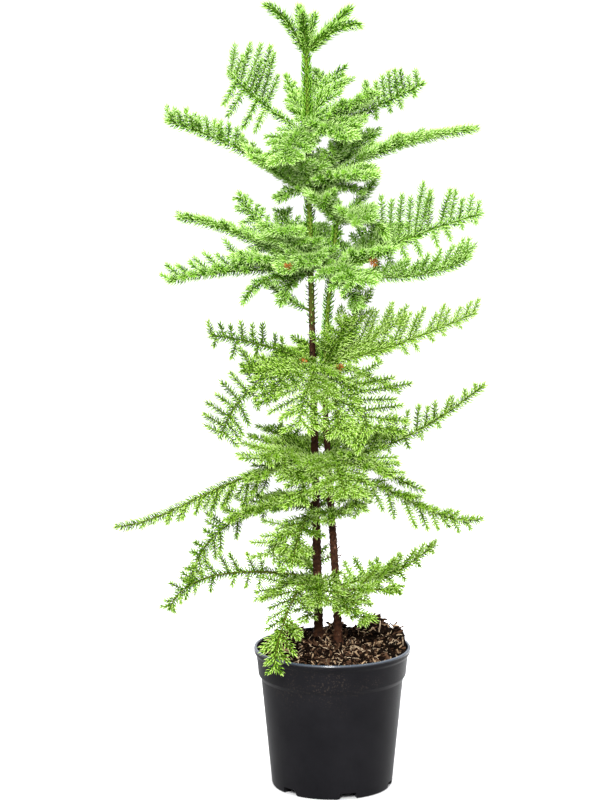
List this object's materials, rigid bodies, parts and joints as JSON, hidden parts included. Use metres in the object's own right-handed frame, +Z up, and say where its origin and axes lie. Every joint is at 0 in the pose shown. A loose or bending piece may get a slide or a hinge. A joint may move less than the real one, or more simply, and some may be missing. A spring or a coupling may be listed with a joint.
{
  "type": "potted conifer",
  "caption": "Young Norfolk Island pine with slender stems and tiers of needled fronds, growing in a round black nursery pot.",
  "frame": {"origin": "centre of the pot's flat underside", "axes": "+Z up along the plant, +X to the right and +Y away, as seen from the front in the picture"},
  "size_m": [0.4918, 0.3078, 1.0409],
  "materials": {
    "pot_plastic": "satin black moulded plastic",
    "soil": "loose dark bark compost",
    "bark": "rough dark brown bark",
    "green_bark": "smooth green young bark",
    "needles": "soft satin green needles"
  },
  "bodies": {
    "root": {"pot": "pot_plastic", "potting_soil": "soil", "short_stem": "bark", "short_tier4_back_right_foliage": "needles", "short_tier4_front_foliage": "needles", "short_tier4_right_foliage": "needles", "short_tier4_right_lower_foliage": "needles", "short_tier5_back_right_foliage": "needles", "short_tier5_front_foliage": "needles", "short_tier5_front_right_foliage": "needles", "short_tier5_right_foliage": "needles", "short_tier6_back_foliage": "needles", "short_tier6_front_foliage": "needles", "short_tier6_right_foliage": "needles", "short_tier6_right_lower_bough": "green_bark", "short_tier6_right_lower_foliage": "needles", "short_tier8_back_right_foliage": "needles", "short_tier8_front_right_foliage": "needles", "short_tier8_right_foliage": "needles", "short_tip_foliage": "needles", "tall_stem": "bark", "tall_tier2_back_left_foliage": "needles", "tall_tier2_back_right_foliage": "needles", "tall_tier2_front_foliage": "needles", "tall_tier2_front_right_foliage": "needles", "tall_tier2_left_bough": "green_bark", "tall_tier2_left_foliage": "needles", "tall_tier2_right_foliage": "needles", "tall_tier3_back_left_foliage": "needles", "tall_tier3_back_right_foliage": "needles", "tall_tier3_front_left_foliage": "needles", "tall_tier3_front_right_foliage": "needles", "tall_tier3_left_bough": "green_bark", "tall_tier3_left_foliage": "needles", "tall_tier3_right_bough": "green_bark", "tall_tier3_right_foliage": "needles", "tall_tier4_back_foliage": "needles", "tall_tier4_back_left_foliage": "needles", "tall_tier4_front_foliage": "needles", "tall_tier4_front_left_foliage": "needles", "tall_tier4_left_lower_foliage": "needles", "tall_tier4_left_upper_foliage": "needles", "tall_tier5_back_foliage": "needles", "tall_tier5_front_left_foliage": "needles", "tall_tier5_left_foliage": "needles", "tall_tier6_back_left_foliage": "needles", "tall_tier6_front_left_foliage": "needles", "tall_tier6_left_bough": "green_bark", "tall_tier6_left_foliage": "needles", "tall_tier7_back_right_foliage": "needles", "tall_tier7_front_left_foliage": "needles", "tall_tier7_left_bough": "green_bark", "tall_tier7_left_foliage": "needles", "tall_tier8_back_foliage": "needles", "tall_tier8_front_left_foliage": "needles", "tall_tier8_left_bough": "green_bark", "tall_tier8_left_foliage": "needles", "tall_tip_foliage": "needles"}
  },
  "joints": []
}
